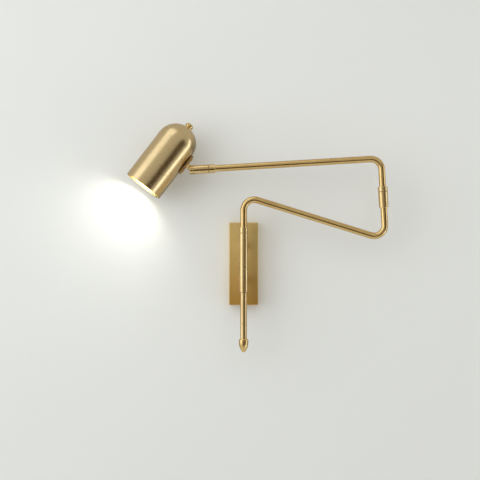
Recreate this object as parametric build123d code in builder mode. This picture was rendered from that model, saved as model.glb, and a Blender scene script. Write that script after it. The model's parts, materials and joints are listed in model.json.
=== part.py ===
from build123d import *
from math import cos, radians, sin, sqrt
import os

# Swing arm wall lamp. Millimetres and degrees.
# X runs right along the wall, Y runs into the wall and Z runs up.
# The origin is on the wall, at the middle of the backplate.

os.makedirs("parts", exist_ok=True)

# Fits and clearances
running_fit = 0.05
seat_fit = 0.02
end_play = 0.2
screw_clearance = 0.25
cut_overrun = 1.0

# Arm tubes and the route they follow
tube_radius = 5.0
tube_wall = 1.0
bend_radius = 16.0
shoulder_height = 102.35
lower_arm_reach = 213.0
lower_arm_drop = 66.3
elbow_corner_span = 122.5
elbow_lean = 3.2
upper_arm_length = 283.0
upper_arm_droop = 3.46

# Backplate cover
plate_width = 44.0
plate_height = 125.0
plate_depth = 20.0
plate_sheet = 1.2
plate_corner_radius = 1.6
plate_edge_rounding = 1.4

# Wall bracket
bracket_width = 30.0
bracket_thickness = 2.0
bracket_bend_radius = 1.5
bracket_end_gap = 0.3
bracket_tab_reach = 15.0
wall_slot_spacing = 92.0
wall_slot_length = 9.0
wall_slot_width = 5.0
lead_hole_radius = 6.0
lead_hole_height = 15.0

# Screws through the ends of the cover
cover_screw_stand_off = 10.0
cover_screw_radius = 2.0
cover_screw_length = 6.0
cover_screw_head_radius = 3.2
cover_screw_head_height = 1.8

# Grommet in the bracket
grommet_wall = 1.5
grommet_lip = 1.2
grommet_lip_thickness = 1.4

# Terminal block, clamp screws and fixing screw
block_width = 25.0
block_height = 17.0
block_depth = 11.0
block_centre_height = -7.0
block_edge_radius = 0.8
block_ways = 3
way_pitch = 7.6
way_hole_radius = 1.6
clamp_screw_radius = 1.5
clamp_screw_length = 3.2
clamp_screw_recess = 1.6
clamp_row_spacing = 9.0
fixing_screw_radius = 1.25
fixing_screw_length = 11.0
fixing_screw_head_radius = 2.2
fixing_screw_head_height = 1.4

# Earth screw
earth_screw_height = -33.0
earth_screw_side = 7.0
earth_screw_radius = 2.0
earth_screw_head_radius = 3.6
earth_screw_head_height = 2.2
earth_washer_radius = 4.2
earth_washer_thickness = 0.8

# Posts between the backplate and the barrel
post_radius = 4.5
post_gap = 15.5
post_inset = 18.0
post_stud_radius = 3.0
post_lead_radius = 1.8
post_stud_overhang = 1.0
post_washer_radius = 6.0
post_washer_thickness = 1.2
post_nut_flats = 10.0
post_nut_height = 4.5

# Barrel on the wall
barrel_radius = 6.5
barrel_length = 88.0
barrel_rise = 2.1
barrel_edge = 0.35
bush_wall = 0.6
bush_length = 9.0
bush_flange_thickness = 0.6
bush_flange_inset = 0.5
lead_window_height = 7.0

# Collars and their grub screws
wall_collar_length = 8.2
collar_edge = 0.3
grub_radius = 1.25
grub_socket_flats = 1.3
grub_socket_depth = 0.7
grub_sink = 0.1

# Tail rod and acorn finial
tail_radius = 5.0
tail_length = 68.9
tail_washer_thickness = 0.6
tail_stub_length = 12.0
tail_stud_radius = 2.5
tail_stud_length = 9.0
finial_radius = 7.2
finial_length = 19.9
finial_shoulder = 2.2
finial_tip_radius = 1.9
finial_tip_rounding = 1.0
finial_belly = 5.0

# Elbow sleeve, measured from the lower corner of the leaning axis
elbow_sleeve_start = 49.1
elbow_sleeve_length = 23.0
elbow_sleeve_radius = 7.1
elbow_seat_depth = 11.0
elbow_tube_insertion = 6.5
elbow_collar_length = 7.3
elbow_collar_radius = 7.15

# Swivel parts, alike at the elbow and at the head
swivel_web = 3.0
swivel_bush_length = 7.5
spindle_radius = 3.0
spindle_bore_radius = 1.7
spindle_head_radius = 4.1
spindle_head_height = 2.0
spring_washer_thickness = 0.8
insert_length = 9.0
tube_end_gap = 0.5
web_gap = 0.1

# Socket at the head's end of the upper arm, measured from the tilt pivot
socket_radius = 6.8
socket_lip = 5.0
socket_length = 28.7
socket_nose_rounding = 1.5
socket_edge = 0.3
tilt_slot_depth = 9.0
head_cavity_depth = 5.0
head_ring_length = 8.7
roll_at_rest = 7.0

# Knuckle stem and its pivot screws
tilt_at_rest = 40.4
stem_radius = 3.75
stem_thickness = 6.0
stem_side_gap = 0.1
stem_flat_reach = 9.0
stem_bore_radius = 1.6
stem_tenon_radius = 2.5
pivot_screw_radius = 1.5
pivot_screw_bite = 1.1
pivot_screw_head_radius = 2.2
pivot_screw_head_height = 1.2
pivot_screw_sink = 0.5

# Saddle plate on the shade
saddle_station = 64.4
saddle_length = 34.0
saddle_width = 12.0
saddle_thickness = 1.8
saddle_gap = 1.0
saddle_reach = 11.1
saddle_edge = 0.5
saddle_screw_spacing = 20.0
saddle_screw_radius = 1.5
saddle_screw_head_radius = 2.8
saddle_screw_head_height = 1.3
saddle_spacer_radius = 3.0
saddle_nut_flats = 5.5
saddle_nut_height = 2.4
saddle_screw_overhang = 0.8
lead_bush_radius = 3.4
lead_bush_flange_radius = 4.4
lead_bush_flange_thickness = 0.7
lead_bush_tail = 1.5

# Shade
shade_radius = 30.5
shade_straight = 80.9
shade_wall = 1.2
shade_rim_rounding = 0.4

# Button knob at the top of the shade, its neck, stud and nuts
neck_radius = 4.4
neck_height = 1.2
knob_radius = 6.4
knob_side = 2.4
knob_height = 5.9
knob_edge = 0.5
knob_thread_depth = 3.6
stud_radius = 3.0
stud_nut_flats = 10.0
stud_nut_height = 3.0
stud_overhang = 1.0

# Lamp holder and its bracket
holder_radius = 14.0
holder_height = 21.0
holder_step_radius = 11.0
holder_step_height = 4.0
holder_pin_radius = 2.8
holder_pin_depth = 8.0
holder_edge = 0.8
holder_gap = 0.3
hat_width = 12.0
hat_thickness = 1.2
hat_height = 8.0
hat_inner_width = 14.0
hat_foot = 6.5
hat_screw_radius = 1.5
hat_screw_length = 7.0
hat_screw_head_radius = 2.5
hat_screw_head_height = 1.3

# Reflector lamp
lamp_recess = 14.5
lamp_radius = 25.0
lamp_length = 47.0
lamp_rim = 5.0
lamp_neck_radius = 12.0
lamp_neck_length = 14.0
lamp_lens_radius = 23.4
lamp_lens_thickness = 1.6
lamp_lens_sink = 0.5
pin_spacing = 10.0
pin_radius = 1.5
pin_foot_radius = 2.4
pin_foot_height = 2.0
pin_length = 7.0

# Slots of screws, and shares used by several pieces
screw_slot_width = 0.8
screw_slot_depth = 0.7
head_rounding_share = 0.45
tube_bore = tube_radius - tube_wall
bearing_bore = tube_radius + running_fit + bush_wall
post_spacing = barrel_length - 2 * post_inset

# The swing axis and the plane that both arms lie in
swing_axis_offset = plate_depth + post_gap + barrel_radius
swing = Plane(origin=(0, -swing_axis_offset, 0), x_dir=(1, 0, 0), z_dir=(0, 0, 1))
arm_plane = Plane(origin=(0, -swing_axis_offset, 0), x_dir=(1, 0, 0), z_dir=(0, -1, 0))
elbow_rise = Vector(-sin(radians(elbow_lean)), cos(radians(elbow_lean)))
arm_inward = Vector(cos(radians(upper_arm_droop)), sin(radians(upper_arm_droop)))
elbow_low = Vector(lower_arm_reach, shoulder_height - lower_arm_drop)
elbow_high = elbow_low + elbow_rise * elbow_corner_span
tilt_pivot = elbow_high - arm_inward * upper_arm_length


def cross_plane(point, along):
    """The plane through a point of the arm plane, square to a direction in that plane."""
    normal = arm_plane.from_local_coords(along) - arm_plane.origin
    return Plane(origin=arm_plane.from_local_coords(point), x_dir=-arm_plane.z_dir, z_dir=normal)


def axis_plane(base):
    """The plane that holds the axis of base: x runs outwards from it and y runs along it."""
    return Plane(origin=base.origin, x_dir=base.x_dir, z_dir=base.x_dir.cross(base.z_dir))


def turned_over(base):
    """The same plane facing the other way."""
    return Plane(origin=base.origin, x_dir=base.x_dir, z_dir=-base.z_dir)


# Shapes that several pieces share

def ring(base, outer, inner, length):
    """A sleeve or washer that stands on base."""
    with BuildPart() as sleeve:
        with BuildSketch(base):
            Circle(outer)
            Circle(inner, mode=Mode.SUBTRACT)
        extrude(amount=length)
    return sleeve


def flanged_bush(base, bore, body, body_length, flange, flange_thickness):
    """A bush whose flange lies on base and whose body hangs below it."""
    with BuildPart() as bush:
        with BuildSketch(base):
            Circle(flange)
        extrude(amount=flange_thickness)
        with BuildSketch(base):
            Circle(body)
        extrude(amount=-body_length)
        with BuildSketch(base.offset(flange_thickness)):
            Circle(bore)
        extrude(amount=-(flange_thickness + body_length), mode=Mode.SUBTRACT)
    return bush


def slotted_screw(shank, length, head, head_height):
    """A round-headed screw: its head stands on the ground plane and its shank hangs below."""
    with BuildPart() as screw:
        with BuildSketch():
            Circle(head)
        extrude(amount=head_height)
        fillet(screw.edges().group_by(Axis.Z)[-1], radius=head_height * head_rounding_share)
        with BuildSketch():
            Circle(shank)
        extrude(amount=-length)
        with BuildSketch(Plane.XY.offset(head_height)):
            Rectangle(2 * (head + cut_overrun), screw_slot_width)
        extrude(amount=-screw_slot_depth, mode=Mode.SUBTRACT)
    return screw


def grub_screw(length):
    """A headless screw with a hexagon socket: it hangs below the ground plane."""
    with BuildPart() as screw:
        with BuildSketch():
            Circle(grub_radius - seat_fit)
        extrude(amount=-length)
        with BuildSketch():
            RegularPolygon(radius=grub_socket_flats / 2, side_count=6, major_radius=False)
        extrude(amount=-grub_socket_depth, mode=Mode.SUBTRACT)
    return screw


def collar(base, outer, length, screw_plane):
    """A ring clamped on a tube, with a tapped hole for its grub screw."""
    with BuildPart() as band:
        with BuildSketch(base):
            Circle(outer)
            Circle(tube_radius + seat_fit, mode=Mode.SUBTRACT)
        extrude(amount=length)
        chamfer(band.edges().filter_by(GeomType.CIRCLE).group_by(SortBy.RADIUS)[-1], length=collar_edge)
        with BuildSketch(screw_plane):
            Circle(grub_radius)
        extrude(amount=-outer, mode=Mode.SUBTRACT)
    return band


def spindle(base):
    """The hollow screw of a swivel: the top of its head lies on base, its shank rises from there."""
    shank_length = spring_washer_thickness + web_gap + swivel_web + tube_end_gap + insert_length
    with BuildPart() as screw:
        with BuildSketch(base):
            Circle(spindle_head_radius)
        extrude(amount=-spindle_head_height)
        with BuildSketch(base):
            Circle(spindle_radius)
        extrude(amount=shank_length)
        with BuildSketch(base.offset(shank_length)):
            Circle(spindle_bore_radius)
        extrude(amount=-(shank_length + spindle_head_height), mode=Mode.SUBTRACT)
    return screw


# Backplate cover: a shallow box, open at the wall
with BuildPart() as backplate_cover:
    with BuildSketch(Plane.XZ):
        RectangleRounded(plate_width, plate_height, plate_corner_radius)
    extrude(amount=plate_depth)
    front_edges = backplate_cover.faces().sort_by(Axis.Y)[0].edges()
    fillet(front_edges, radius=plate_edge_rounding)
    with BuildSketch(Plane.XZ):
        Rectangle(plate_width - 2 * plate_sheet, plate_height - 2 * plate_sheet)
    extrude(amount=plate_depth - plate_sheet, mode=Mode.SUBTRACT)
    with BuildSketch(Plane.XZ):
        with Locations((0, barrel_rise)):
            with GridLocations(0, post_spacing, 1, 2):
                Circle(post_stud_radius + screw_clearance)
    extrude(amount=plate_depth + cut_overrun, mode=Mode.SUBTRACT)
    with BuildSketch(Plane.XY):
        with Locations((0, -cover_screw_stand_off)):
            Circle(cover_screw_radius + screw_clearance)
    extrude(amount=plate_height, both=True, mode=Mode.SUBTRACT)
backplate_cover.part.label = "backplate_cover"
export_step(backplate_cover.part, "parts/backplate_cover.step")

# Wall bracket: a strap whose two ends are bent forward to take the cover screws
bracket_length = plate_height - 2 * (plate_sheet + bracket_end_gap)
with BuildPart() as wall_bracket:
    with BuildSketch(Plane.YZ):
        with BuildLine():
            strap_line = FilletPolyline(
                (-bracket_tab_reach, bracket_length / 2),
                (0, bracket_length / 2),
                (0, -bracket_length / 2),
                (-bracket_tab_reach, -bracket_length / 2),
                radius=bracket_bend_radius + bracket_thickness,
            )
            inner_line = FilletPolyline(
                (-bracket_tab_reach, bracket_length / 2 - bracket_thickness),
                (-bracket_thickness, bracket_length / 2 - bracket_thickness),
                (-bracket_thickness, bracket_thickness - bracket_length / 2),
                (-bracket_tab_reach, bracket_thickness - bracket_length / 2),
                radius=bracket_bend_radius,
            )
            Line(strap_line @ 0, inner_line @ 0)
            Line(strap_line @ 1, inner_line @ 1)
        make_face()
    extrude(amount=bracket_width / 2, both=True)
    with BuildSketch(Plane.XZ):
        with GridLocations(0, wall_slot_spacing, 1, 2):
            SlotOverall(wall_slot_length, wall_slot_width, rotation=90)
        with Locations((0, lead_hole_height)):
            Circle(lead_hole_radius)
        with Locations((way_pitch / 2, block_centre_height)):
            Circle(fixing_screw_radius)
        with Locations((earth_screw_side, earth_screw_height)):
            Circle(earth_screw_radius)
    extrude(amount=bracket_thickness, mode=Mode.SUBTRACT)
    with BuildSketch(Plane.XY):
        with Locations((0, -cover_screw_stand_off)):
            Circle(cover_screw_radius)
    extrude(amount=plate_height, both=True, mode=Mode.SUBTRACT)
wall_bracket.part.label = "wall_bracket"
export_step(wall_bracket.part, "parts/wall_bracket.step")

# Screws through the top and bottom edges of the cover
cover_screw = slotted_screw(
    cover_screw_radius - seat_fit, cover_screw_length, cover_screw_head_radius, cover_screw_head_height
)
cover_top = Plane(origin=(0, -cover_screw_stand_off, plate_height / 2), x_dir=(1, 0, 0), z_dir=(0, 0, 1))
cover_foot = Plane(origin=(0, -cover_screw_stand_off, -plate_height / 2), x_dir=(1, 0, 0), z_dir=(0, 0, -1))
with BuildPart() as cover_screws:
    with Locations(cover_top, cover_foot):
        add(cover_screw)
cover_screws.part.label = "cover_screws"
export_step(cover_screws.part, "parts/cover_screws.step")

# Rubber grommet in the bracket's lead hole, with a lip on the room side
grommet_seat = Plane(origin=(0, -bracket_thickness, lead_hole_height), x_dir=(1, 0, 0), z_dir=(0, -1, 0))
bracket_grommet = flanged_bush(
    grommet_seat,
    lead_hole_radius - grommet_wall,
    lead_hole_radius - seat_fit,
    bracket_thickness,
    lead_hole_radius + grommet_lip,
    grommet_lip_thickness,
)
bracket_grommet.part.label = "bracket_grommet"
export_step(bracket_grommet.part, "parts/bracket_grommet.step")

# Terminal block on the bracket: a row of ways, each with a lead hole and two clamp screws
block_face = bracket_thickness + block_depth
with BuildPart() as terminal_block:
    with BuildSketch(Plane.XZ.offset(bracket_thickness)):
        with Locations((0, block_centre_height)):
            RectangleRounded(block_width, block_height, block_edge_radius)
    extrude(amount=block_depth)
    with BuildSketch(Plane.XY.offset(block_centre_height)):
        with Locations((0, -(bracket_thickness + block_depth / 2))):
            with GridLocations(way_pitch, 0, block_ways, 1):
                Circle(way_hole_radius)
    extrude(amount=block_height, both=True, mode=Mode.SUBTRACT)
    with BuildSketch(Plane.XZ.offset(block_face)):
        with Locations((0, block_centre_height)):
            with GridLocations(way_pitch, clamp_row_spacing, block_ways, 2):
                Circle(clamp_screw_radius)
    extrude(amount=-(clamp_screw_recess + clamp_screw_length), mode=Mode.SUBTRACT)
    with BuildSketch(Plane.XZ.offset(block_face)):
        with Locations((way_pitch / 2, block_centre_height)):
            Circle(fixing_screw_radius + seat_fit)
    extrude(amount=-block_depth, mode=Mode.SUBTRACT)
terminal_block.part.label = "terminal_block"
export_step(terminal_block.part, "parts/terminal_block.step")

# Clamp screws of the terminal block
with BuildPart() as clamp_screws:
    with BuildSketch(Plane.XZ.offset(block_face - clamp_screw_recess)):
        with Locations((0, block_centre_height)):
            with GridLocations(way_pitch, clamp_row_spacing, block_ways, 2):
                Circle(clamp_screw_radius - seat_fit)
    extrude(amount=-clamp_screw_length)
    with BuildSketch(Plane.XZ.offset(block_face - clamp_screw_recess)):
        with Locations((0, block_centre_height)):
            with GridLocations(way_pitch, clamp_row_spacing, block_ways, 2):
                Rectangle(2 * clamp_screw_radius, screw_slot_width)
    extrude(amount=-screw_slot_depth, mode=Mode.SUBTRACT)
clamp_screws.part.label = "clamp_screws"
export_step(clamp_screws.part, "parts/clamp_screws.step")

# Screw that holds the terminal block on the bracket
fixing_screw_body = slotted_screw(
    fixing_screw_radius - seat_fit,
    fixing_screw_length + bracket_thickness,
    fixing_screw_head_radius,
    fixing_screw_head_height,
)
with BuildPart() as block_fixing_screw:
    with Locations(Plane.XZ.offset(block_face) * Pos(way_pitch / 2, block_centre_height)):
        add(fixing_screw_body)
block_fixing_screw.part.label = "block_fixing_screw"
export_step(block_fixing_screw.part, "parts/block_fixing_screw.step")

# Earth screw with its washer, in the bracket
earth_seat = Plane(
    origin=(earth_screw_side, -(bracket_thickness + earth_washer_thickness), earth_screw_height),
    x_dir=(1, 0, 0),
    z_dir=(0, -1, 0),
)
earth_screw_body = slotted_screw(
    earth_screw_radius - seat_fit,
    bracket_thickness + earth_washer_thickness,
    earth_screw_head_radius,
    earth_screw_head_height,
)
with BuildPart() as earth_screw:
    with Locations(earth_seat):
        add(earth_screw_body)
earth_screw.part.label = "earth_screw"
export_step(earth_screw.part, "parts/earth_screw.step")

earth_washer = ring(turned_over(earth_seat), earth_washer_radius, earth_screw_radius, earth_washer_thickness)
earth_washer.part.label = "earth_washer"
export_step(earth_washer.part, "parts/earth_washer.step")

# Posts between the backplate and the barrel, each with a stud through the cover
plate_face = Plane.XZ.offset(plate_depth)
stud_reach = plate_sheet + post_washer_thickness + post_nut_height + post_stud_overhang


def post(height, bore):
    """A post at a height over the plate's middle, hollowed to the ends of its coped top by a bore."""
    with BuildPart() as stand:
        with BuildSketch(plate_face):
            with Locations((0, height)):
                Circle(post_radius)
        extrude(amount=post_gap + barrel_radius)
        with BuildSketch(plate_face):
            with Locations((0, height)):
                Circle(post_stud_radius)
        extrude(amount=-stud_reach)
        with BuildSketch(Plane.XY.offset(height)):
            with Locations((0, -swing_axis_offset)):
                Circle(barrel_radius + seat_fit)
        extrude(amount=post_radius + cut_overrun, both=True, mode=Mode.SUBTRACT)
        if bore:
            with BuildSketch(plate_face.offset(-stud_reach)):
                with Locations((0, height)):
                    Circle(bore)
            extrude(amount=stud_reach + post_gap + barrel_radius, mode=Mode.SUBTRACT)
    return stand


post_high = barrel_rise + post_spacing / 2
post_low = barrel_rise - post_spacing / 2
post_upper = post(post_high, post_lead_radius)
post_upper.part.label = "post_upper"
export_step(post_upper.part, "parts/post_upper.step")

post_lower = post(post_low, 0)
post_lower.part.label = "post_lower"
export_step(post_lower.part, "parts/post_lower.step")

# Washers and nuts on the studs, inside the cover
cover_inside = plate_depth - plate_sheet
with BuildPart() as post_washers:
    with BuildSketch(Plane.XZ.offset(cover_inside)):
        with Locations((0, post_high), (0, post_low)):
            Circle(post_washer_radius)
            Circle(post_stud_radius + screw_clearance, mode=Mode.SUBTRACT)
    extrude(amount=-post_washer_thickness)
post_washers.part.label = "post_washers"
export_step(post_washers.part, "parts/post_washers.step")

with BuildPart() as post_nuts:
    with BuildSketch(Plane.XZ.offset(cover_inside - post_washer_thickness)):
        with Locations((0, post_high), (0, post_low)):
            RegularPolygon(radius=post_nut_flats / 2, side_count=6, major_radius=False)
            Circle(post_stud_radius + seat_fit, mode=Mode.SUBTRACT)
    extrude(amount=-post_nut_height)
post_nuts.part.label = "post_nuts"
export_step(post_nuts.part, "parts/post_nuts.step")

# Barrel: the fixed tube that the first arm turns in, with a lead hole at the hollow post
barrel_top = barrel_rise + barrel_length / 2
barrel_foot = barrel_rise - barrel_length / 2
with BuildPart() as wall_barrel:
    with BuildSketch(swing.offset(barrel_foot)):
        Circle(barrel_radius)
    extrude(amount=barrel_length)
    chamfer(wall_barrel.edges().filter_by(GeomType.CIRCLE), length=barrel_edge)
    with BuildSketch(swing.offset(barrel_foot)):
        Circle(bearing_bore)
    extrude(amount=barrel_length, mode=Mode.SUBTRACT)
    with BuildSketch(Plane(origin=swing.origin, x_dir=(1, 0, 0), z_dir=(0, -1, 0))):
        with Locations((0, post_high)):
            Circle(post_lead_radius)
    extrude(amount=-(barrel_radius + cut_overrun), mode=Mode.SUBTRACT)
wall_barrel.part.label = "wall_barrel"
export_step(wall_barrel.part, "parts/wall_barrel.step")

# Bushes at the barrel's two ends
bush_flange_radius = barrel_radius - bush_flange_inset
barrel_bush_upper = flanged_bush(
    swing.offset(barrel_top),
    tube_radius + running_fit,
    bearing_bore - seat_fit,
    bush_length,
    bush_flange_radius,
    bush_flange_thickness,
)
barrel_bush_upper.part.label = "barrel_bush_upper"
export_step(barrel_bush_upper.part, "parts/barrel_bush_upper.step")

barrel_bush_lower = flanged_bush(
    turned_over(swing.offset(barrel_foot)),
    tube_radius + running_fit,
    bearing_bore - seat_fit,
    bush_length,
    bush_flange_radius,
    bush_flange_thickness,
)
barrel_bush_lower.part.label = "barrel_bush_lower"
export_step(barrel_bush_lower.part, "parts/barrel_bush_lower.step")

# First arm: one bent tube from below the barrel to the elbow sleeve, with a window for the lead
tube_foot = barrel_foot - bush_flange_thickness - end_play
with BuildPart() as lower_arm_tube:
    with BuildLine(arm_plane):
        lower_end = elbow_low + elbow_rise * (elbow_sleeve_start + elbow_tube_insertion)
        FilletPolyline(
            (0, tube_foot),
            (0, shoulder_height),
            (elbow_low.X, elbow_low.Y),
            (lower_end.X, lower_end.Y),
            radius=bend_radius,
        )
    with BuildSketch(swing.offset(tube_foot)):
        Circle(tube_radius)
        Circle(tube_bore, mode=Mode.SUBTRACT)
    sweep()
    with BuildSketch(swing.offset(post_high)):
        with Locations((-tube_radius, 0)):
            Rectangle(2 * tube_radius, 2 * (tube_radius + cut_overrun))
    extrude(amount=lead_window_height / 2, both=True, mode=Mode.SUBTRACT)
lower_arm_tube.part.label = "lower_arm_tube"
export_step(lower_arm_tube.part, "parts/lower_arm_tube.step")

# Collar above the barrel, with its grub screw on the wall side
collar_foot = barrel_top + bush_flange_thickness + end_play
wall_collar_screw_plane = Plane(
    origin=swing.offset(collar_foot + wall_collar_length / 2).origin,
    x_dir=(1, 0, 0),
    z_dir=(0, 1, 0),
)
wall_collar = collar(
    swing.offset(collar_foot),
    barrel_radius,
    wall_collar_length,
    wall_collar_screw_plane.offset(barrel_radius),
)
wall_collar.part.label = "wall_collar"
export_step(wall_collar.part, "parts/wall_collar.step")

wall_grub = grub_screw(barrel_radius - grub_sink - tube_radius - seat_fit)
with BuildPart() as wall_collar_screw:
    with Locations(wall_collar_screw_plane.offset(barrel_radius - grub_sink)):
        add(wall_grub)
wall_collar_screw.part.label = "wall_collar_screw"
export_step(wall_collar_screw.part, "parts/wall_collar_screw.step")

# Washer under the lower bush: it keeps the arm from lifting out
tail_washer = ring(
    turned_over(swing.offset(tube_foot)),
    bush_flange_radius,
    tube_bore,
    tail_washer_thickness,
)
tail_washer.part.label = "tail_washer"
export_step(tail_washer.part, "parts/tail_washer.step")

# Tail rod: its stub screws into the arm tube, its foot is tapped for the finial
tail_top = tube_foot - tail_washer_thickness
tail_foot = tail_top - tail_length
with BuildPart() as tail_rod:
    with BuildSketch(swing.offset(tail_foot)):
        Circle(tail_radius)
    extrude(amount=tail_length)
    with BuildSketch(swing.offset(tail_top)):
        Circle(tube_bore - seat_fit)
    extrude(amount=tail_washer_thickness + tail_stub_length)
    with BuildSketch(swing.offset(tail_foot)):
        Circle(tail_stud_radius + seat_fit)
    extrude(amount=tail_stud_length + end_play, mode=Mode.SUBTRACT)
tail_rod.part.label = "tail_rod"
export_step(tail_rod.part, "parts/tail_rod.step")

# Acorn finial with a rounded shoulder, a straight belly, a pointed flank, a blunt tip and a stud
finial_frame = swing.offset(tail_foot)
with BuildPart() as tail_finial:
    with BuildSketch(axis_plane(finial_frame)):
        with BuildLine():
            belly = Line((finial_radius, -finial_belly), (finial_radius, -finial_shoulder))
            shoulder = TangentArc(belly @ 1, (tail_radius, 0), tangent=(0, 1))
            flank = TangentArc(belly @ 0, (finial_tip_radius, -finial_length), tangent=(0, -1))
            Polyline(
                flank @ 1,
                (0, -finial_length),
                (0, tail_stud_length),
                (tail_stud_radius, tail_stud_length),
                (tail_stud_radius, 0),
                shoulder @ 1,
            )
        make_face()
    revolve(axis=Axis(finial_frame.origin, finial_frame.z_dir))
    fillet(tail_finial.edges().group_by(Axis.Z)[0], radius=finial_tip_rounding)
tail_finial.part.label = "tail_finial"
export_step(tail_finial.part, "parts/tail_finial.step")

# Elbow sleeve on the far end of the first arm: a seat for the tube, a web and a bearing bore
elbow = cross_plane(elbow_low, elbow_rise)
sleeve_start = elbow.offset(elbow_sleeve_start)
web_start = elbow_sleeve_start + elbow_seat_depth
web_top = web_start + swivel_web
sleeve_end = elbow_sleeve_start + elbow_sleeve_length
elbow_screw_plane = Plane(
    origin=elbow.offset(elbow_sleeve_start + elbow_tube_insertion / 2).origin,
    x_dir=elbow.z_dir,
    z_dir=(0, 1, 0),
)
with BuildPart() as elbow_sleeve:
    with BuildSketch(sleeve_start):
        Circle(elbow_sleeve_radius)
    extrude(amount=elbow_sleeve_length)
    chamfer(elbow_sleeve.edges().filter_by(GeomType.CIRCLE), length=collar_edge)
    with BuildSketch(sleeve_start):
        Circle(tube_radius + seat_fit)
    extrude(amount=elbow_seat_depth, mode=Mode.SUBTRACT)
    with BuildSketch(elbow.offset(web_start)):
        Circle(spindle_radius + running_fit)
    extrude(amount=swivel_web, mode=Mode.SUBTRACT)
    with BuildSketch(elbow.offset(web_top)):
        Circle(bearing_bore)
    extrude(amount=sleeve_end - web_top, mode=Mode.SUBTRACT)
    with BuildSketch(elbow_screw_plane.offset(elbow_sleeve_radius)):
        Circle(grub_radius)
    extrude(amount=-elbow_sleeve_radius, mode=Mode.SUBTRACT)
elbow_sleeve.part.label = "elbow_sleeve"
export_step(elbow_sleeve.part, "parts/elbow_sleeve.step")

elbow_grub = grub_screw(elbow_sleeve_radius - grub_sink - tube_radius - seat_fit)
with BuildPart() as elbow_sleeve_screw:
    with Locations(elbow_screw_plane.offset(elbow_sleeve_radius - grub_sink)):
        add(elbow_grub)
elbow_sleeve_screw.part.label = "elbow_sleeve_screw"
export_step(elbow_sleeve_screw.part, "parts/elbow_sleeve_screw.step")

elbow_bush = flanged_bush(
    elbow.offset(sleeve_end),
    tube_radius + running_fit,
    bearing_bore - seat_fit,
    swivel_bush_length,
    elbow_sleeve_radius - bush_flange_inset,
    bush_flange_thickness,
)
elbow_bush.part.label = "elbow_bush"
export_step(elbow_bush.part, "parts/elbow_bush.step")

# Second arm: one bent tube from inside the elbow sleeve to inside the head's socket
upper_tube_foot = web_top + tube_end_gap
upper_start = elbow_low + elbow_rise * upper_tube_foot
socket_web_start = tilt_slot_depth - socket_lip + head_cavity_depth
socket_web_top = socket_web_start + swivel_web
upper_end = tilt_pivot + arm_inward * (socket_web_top + tube_end_gap)
with BuildPart() as upper_arm_tube:
    with BuildLine(arm_plane):
        FilletPolyline(
            (upper_start.X, upper_start.Y),
            (elbow_high.X, elbow_high.Y),
            (upper_end.X, upper_end.Y),
            radius=bend_radius,
        )
    with BuildSketch(elbow.offset(upper_tube_foot)):
        Circle(tube_radius)
        Circle(tube_bore, mode=Mode.SUBTRACT)
    sweep()
upper_arm_tube.part.label = "upper_arm_tube"
export_step(upper_arm_tube.part, "parts/upper_arm_tube.step")

# Collar of the second arm, on top of the elbow sleeve
elbow_collar_foot = sleeve_end + bush_flange_thickness + end_play
elbow_collar_screw_plane = Plane(
    origin=elbow.offset(elbow_collar_foot + elbow_collar_length / 2).origin,
    x_dir=elbow.z_dir,
    z_dir=(0, 1, 0),
)
elbow_collar = collar(
    elbow.offset(elbow_collar_foot),
    elbow_collar_radius,
    elbow_collar_length,
    elbow_collar_screw_plane.offset(elbow_collar_radius),
)
elbow_collar.part.label = "elbow_collar"
export_step(elbow_collar.part, "parts/elbow_collar.step")

collar_grub = grub_screw(elbow_collar_radius - grub_sink - tube_radius - seat_fit)
with BuildPart() as elbow_collar_screw:
    with Locations(elbow_collar_screw_plane.offset(elbow_collar_radius - grub_sink)):
        add(collar_grub)
elbow_collar_screw.part.label = "elbow_collar_screw"
export_step(elbow_collar_screw.part, "parts/elbow_collar_screw.step")

# Inside the elbow: a plug in the tube, the hollow spindle and its spring washer
elbow_insert = ring(
    elbow.offset(upper_tube_foot),
    tube_bore - seat_fit,
    spindle_radius + seat_fit,
    insert_length,
)
elbow_insert.part.label = "elbow_insert"
export_step(elbow_insert.part, "parts/elbow_insert.step")

elbow_head_top = web_start - web_gap - spring_washer_thickness
elbow_spindle = spindle(elbow.offset(elbow_head_top))
elbow_spindle.part.label = "elbow_spindle"
export_step(elbow_spindle.part, "parts/elbow_spindle.step")

elbow_spring_washer = ring(
    elbow.offset(elbow_head_top),
    spindle_head_radius,
    spindle_radius + seat_fit,
    spring_washer_thickness,
)
elbow_spring_washer.part.label = "elbow_spring_washer"
export_step(elbow_spring_washer.part, "parts/elbow_spring_washer.step")

# The socket's axis runs inwards along the arm; its x is the side that the knuckle stem folds up to
arm_swivel = cross_plane(tilt_pivot, arm_inward)
viewer_side = arm_plane.z_dir
inward = arm_swivel.z_dir
upright = viewer_side.cross(inward)
folded_side = upright * cos(radians(roll_at_rest)) - viewer_side * sin(radians(roll_at_rest))
swivel = Plane(origin=arm_swivel.origin, x_dir=folded_side, z_dir=inward)

# Ring on the head's end of the second arm
socket_end = socket_length - socket_lip
head_ring_foot = socket_end + bush_flange_thickness + end_play
head_ring_screw_plane = Plane(
    origin=arm_swivel.offset(head_ring_foot + head_ring_length / 2).origin, x_dir=inward, z_dir=(0, 1, 0)
)
head_ring = collar(
    arm_swivel.offset(head_ring_foot),
    socket_radius,
    head_ring_length,
    head_ring_screw_plane.offset(socket_radius),
)
head_ring.part.label = "head_ring"
export_step(head_ring.part, "parts/head_ring.step")

head_grub = grub_screw(socket_radius - grub_sink - tube_radius - seat_fit)
with BuildPart() as head_ring_screw:
    with Locations(head_ring_screw_plane.offset(socket_radius - grub_sink)):
        add(head_grub)
head_ring_screw.part.label = "head_ring_screw"
export_step(head_ring_screw.part, "parts/head_ring_screw.step")

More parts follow.
